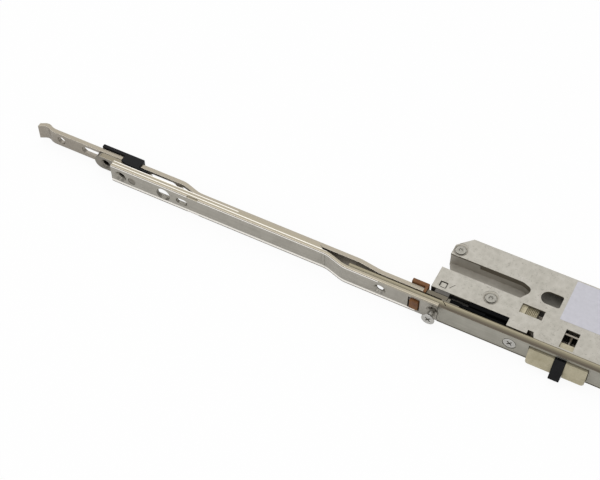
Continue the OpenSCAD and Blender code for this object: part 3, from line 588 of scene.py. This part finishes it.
def close_notch(obj, x_ends, y_ends, z_ends):
    """Fills a square notch in an edge; the first of y_ends and the last of z_ends are the surface."""
    corners = [Vector((x, y, z)) / TO_MM for x in x_ends for y in y_ends for z in z_ends]
    in_front = [p for p in corners if abs(p.y * TO_MM - y_ends[0]) < NEAR]
    at_side = [p for p in corners if abs(p.z * TO_MM - z_ends[1]) < NEAR]
    with_points(obj, corners, bpy.ops.mesh.delete, type="ONLY_FACE")
    for patch in ([p for p in in_front if p in at_side], in_front, at_side):
        with_points(obj, patch, bpy.ops.mesh.edge_face_add)
    on_whole_mesh(obj, bpy.ops.mesh.delete_loose)
    on_whole_mesh(obj, bpy.ops.mesh.normals_make_consistent, inside=False)


def head_gap(x):
    """A tube-shaped tool for the gap round the countersunk head at x, in the plate's front."""
    tube = add_round("ring_tool", (x, 0, 0), GAP_RADIUS, 2 * GAP_DEPTH)
    cut_away(tube, add_round("ring_tool", (x, 0, 0), HEAD_RADIUS, 4 * GAP_DEPTH))
    return tube


faceplate = clean_copy("faceplate", "faceplate_finished")
head_ends = sorted({round(v.co.x * TO_MM, 1) for v in nodes["faceplate_screws"].data.vertices})
# The flange runs on to the seam with the upper plate
seam = max(v.co.x for v in nodes["upper_faceplate"].data.vertices) * TO_MM
flange_start = [v.co.copy() for v in faceplate.data.vertices
                if 5 < v.co.x * TO_MM - seam < 7 and v.co.y * TO_MM > 5]
with_points(faceplate, flange_start, bpy.ops.transform.translate, value=(-FLANGE_REACH * MM, 0, 0))
cut_away(faceplate, add_block("hole_tool", *LOW_HOLE),
         head_gap(head_ends[0] + HEAD_RADIUS), head_gap(head_ends[-1] - HEAD_RADIUS))
fold_edges(faceplate, -150)
finish_copy(faceplate, "faceplate", PLATE_EDGE)

upper_faceplate = clean_copy("upper_faceplate", "upper_faceplate_finished")
# The relief notches of the fold are closed, so that the fold runs through, and cut again
for side in (-1, 1):
    close_notch(upper_faceplate, NOTCH_X, NOTCH_Y, (side * (half_w - NOTCH_DEPTH), side * half_w))
fold_edges(upper_faceplate, -400)
notch_half = NOTCH_DEPTH - SPARE
notches = [add_block("notch_tool", (NOTCH_X[0] - SPARE, NOTCH_Y[0] - 0.5, side * half_w - notch_half),
                     (NOTCH_X[1] + SPARE, NOTCH_Y[1] + SPARE, side * half_w + notch_half))
           for side in (-1, 1)]
press_lines = [add_block("press_tool", (x - 0.25, STEP_FACE - 1.4, 1.4 - half_w),
                         (x + 0.25, STEP_FACE + 0.18, half_w - 1.9)) for x in PRESS_LINES]
cut_away(upper_faceplate, *notches, *press_lines)
finish_copy(upper_faceplate, "upper_faceplate", PLATE_EDGE)


# Cover of the case, all sizes in millimetres

COVER_TOP = 6.0
TOOL_BOTTOM, TOOL_TOP = COVER_TOP - 3, COVER_TOP + 1
COVER_SCREWS = ((-155.2, 50), (-122.8, 23), (30, 55.5), (60, 24.5), (126, 25), (134, 50))
SEAT_RADIUS, SEAT_DEPTH = 4.1, 1.05
DISH_RADIUS, DISH_DEPTH = 5.6, 0.22
SIGN_X, SIGN_Y = (-156.6, -151.5), (16.5, 21.2)  # small punched square, open at one corner
STROKE_PLACE, STROKE_TURN = (-148.3, 19.8), 57.5  # short punched stroke beside it
STROKE_HALF_LENGTH, STROKE_HALF_WIDTH, STROKE_DEPTH = 2.6, 0.16, 0.6
CHANNEL_END_RADIUS = 2.0


def sign_line(x_low, y_low, x_high, y_high):
    """A tool for one line of the punched square."""
    return add_block("mark_tool", (x_low, y_low, TOOL_BOTTOM), (x_high, y_high, TOOL_TOP))


def round_tools(name, radius, depth):
    """A round tool at each screw of the cover, that goes this deep."""
    return [add_round(name, (x, y, COVER_TOP), radius, 2 * depth, "Z") for x, y in COVER_SCREWS]


def is_channel_end(a, b):
    """Test for the upright edges at the round end of the channel."""
    upright = abs(a.x - b.x) < NEAR and abs(a.y - b.y) < NEAR
    return upright and -112 < a.x < -101.9 and 36 < a.y < 44.7


cover = clean_copy("case_cover", "case_cover_finished")
(left, right), (near, far) = SIGN_X, SIGN_Y
sign = [
    sign_line(left, near + 0.4, left + 0.8, far), sign_line(left, far - 0.75, right, far),
    sign_line(right - 0.55, near + 0.6, right, far), sign_line(left + 1.2, near, right, near + 0.45),
]
stroke = add_block("scribe_tool", (-STROKE_HALF_LENGTH, -STROKE_HALF_WIDTH, COVER_TOP - STROKE_DEPTH),
                   (STROKE_HALF_LENGTH, STROKE_HALF_WIDTH, TOOL_TOP))
stroke.rotation_euler.z = math.radians(STROKE_TURN)
stroke.location = [c * MM for c in STROKE_PLACE] + [0]
place_in_mesh(stroke)
cut_away(cover, *sign, stroke, *round_tools("dish_tool", DISH_RADIUS, DISH_DEPTH),
         *round_tools("seat_tool", SEAT_RADIUS, SEAT_DEPTH))
merge_close(cover)
join_flat_faces(cover)
edge_bevel(cover, is_channel_end, CHANNEL_END_RADIUS, segments=4)
finish_copy(cover, "case_cover", 0.2)


# Other pieces, all sizes in millimetres

# Head of the rivet that holds the end connector, in the blind hole of the upper plate
rivet_head = add_round("end_rivet_head", (-382.3, 4.8, 0), 2.85, 0.5)
round_edges(rivet_head, 0.2)
smooth(rivet_head)
dress(rivet_head, "case", "plated_steel", connector_strip)

# Lip of the cap over the upper edge of the link strip
strip_low, strip_high = (Vector(c) * TO_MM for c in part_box("link_strip"))
cap_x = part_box("strip_cap")[0][0] * TO_MM
lip = add_block("strip_cap_lip", (cap_x - 7.5, strip_low.y - 0.12, 5.0),
                (cap_x + 0.2, strip_high.y + 0.12, 6.15))
round_edges(lip, 0.1)
smooth(lip)
dress(lip, body_of["strip_cap"], slot_of["strip_cap"], shade_black)

# The edge radius of each node that keeps its shape, in millimetres
EDGE_RADII = {
    "end_connector": 0.35, "upper_rod": 0.45, "lower_rod": 0.45, "link_strip": 0.3, "case_tray": 0.25,
    "rod_guide_clip": 0.4, "latch_bolt": 0.7, "latch_insert": 0.4, "rod_guide_block": 0.3,
    "slide_block": 0.3, "gate_shield": 0.25, "strip_cap": 0.25, "channel_liner": 0.2,
    "case_screws": 0.15, "faceplate_screws": 0.15, "coupling_screw": 0.2,
}
for node_name, width in EDGE_RADII.items():
    finish_copy(clean_copy(node_name, node_name + "_finished"), node_name, width)

# The block of the position clip leaves a gap on its left and below it in the window
clip = clean_copy("position_clip", "position_clip_finished")
block_left = seam - 19.9
cut_away(clip, add_block("clip_tool", (block_left - 0.5, -3, -6), (block_left + 0.8, 4, 6)),
         add_block("clip_tool", (block_left - 1, -3, -6), (block_left + 8, 4, -3.6)))
finish_copy(clip, "position_clip", 0.6)

# The latch spring, which shortens from its front end as the latch goes in, gets a mesh of its own
coil = clean_copy("latch_spring", "latch_spring_finished")
smooth(coil)
dress(coil, body_of["latch_spring"], slot_of["latch_spring"], spring_steel, "latch_spring")
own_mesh(coil)


# Stage

FLOOR_Z = -0.0086  # just below the lock, in metres
MIDDLE = (-0.1, 0.0, 0)  # the lamps face this point


def floor_material():
    """Matt white table: shows as plain white to the camera, with the shadow kept."""
    mat, tree, bsdf = new_material("white_table", Roughness=0.9)
    bsdf.inputs["Base Color"].default_value = linear("#f4f4f4")
    glow = add_node(tree, "ShaderNodeEmission", {"Color": (1, 1, 1, 1), "Strength": 1.0})
    rays = add_node(tree, "ShaderNodeLightPath")
    seen = add_node(tree, "ShaderNodeMath", {"operation": "MAXIMUM"},
                    {0: rays.outputs["Is Camera Ray"], 1: rays.outputs["Is Glossy Ray"]})
    camera_share = add_node(tree, "ShaderNodeMath", {"operation": "MULTIPLY", 1: 0.52},
                            {0: rays.outputs["Is Camera Ray"]})
    share = add_node(tree, "ShaderNodeMath", {"operation": "MULTIPLY_ADD", 1: 0.4},
                     {0: seen.outputs[0], 2: camera_share.outputs[0]})
    mix = add_node(tree, "ShaderNodeMixShader", None,
                   {0: share.outputs[0], 1: bsdf.outputs[0], 2: glow.outputs[0]})
    tree.links.new(mix.outputs[0], tree.nodes["Material Output"].inputs["Surface"])
    return mat


def soft_lamp(name, place, size, power):
    """A large square lamp that faces the middle of the lock."""
    data = bpy.data.lights.new(name, "AREA")
    data.size = size
    data.energy = power
    lamp = bpy.data.objects.new(name, data)
    bpy.context.collection.objects.link(lamp)
    lamp.location = place
    lamp.rotation_euler = (Vector(MIDDLE) - Vector(place)).to_track_quat("-Z", "Y").to_euler()


bpy.ops.object.select_all(action="DESELECT")
bpy.ops.mesh.primitive_plane_add(size=8, location=(0, 0, FLOOR_Z))
table = bpy.context.object
table.name = "table"
table.data.materials.append(floor_material())

world = bpy.data.worlds.new("studio")
bpy.context.scene.world = world
world.use_nodes = True
background = world.node_tree.nodes["Background"].inputs
background["Color"].default_value = (1, 1, 1, 1)
background["Strength"].default_value = 0.5

soft_lamp("key", (-0.7, -0.2, 1.5), 1.8, 9)
soft_lamp("back", (-0.6, 0.85, 1.25), 1.6, 5.5)
soft_lamp("fill", (0.9, -0.9, 1.1), 1.2, 8)
soft_lamp("fold_light", (-0.5, -1.15, 0.8), 0.4, 0.5)

# The camera looks down at the faceplate's front and along it, towards the upper end
CAMERA_PITCH, CAMERA_TURN = 51.5, 27.63  # degrees below the horizon, and from the Y axis
camera_data = bpy.data.cameras.new("camera")
camera_data.sensor_width = 36
camera_data.lens = 78.36
camera_data.clip_start = 0.01
camera = bpy.data.objects.new("camera", camera_data)
bpy.context.collection.objects.link(camera)
camera.location = (-0.00346, -0.46807, 0.68208)
camera.rotation_euler = (math.radians(90 - CAMERA_PITCH), 0, math.radians(CAMERA_TURN))
bpy.context.scene.camera = camera
bpy.context.scene.view_settings.view_transform = "Standard"
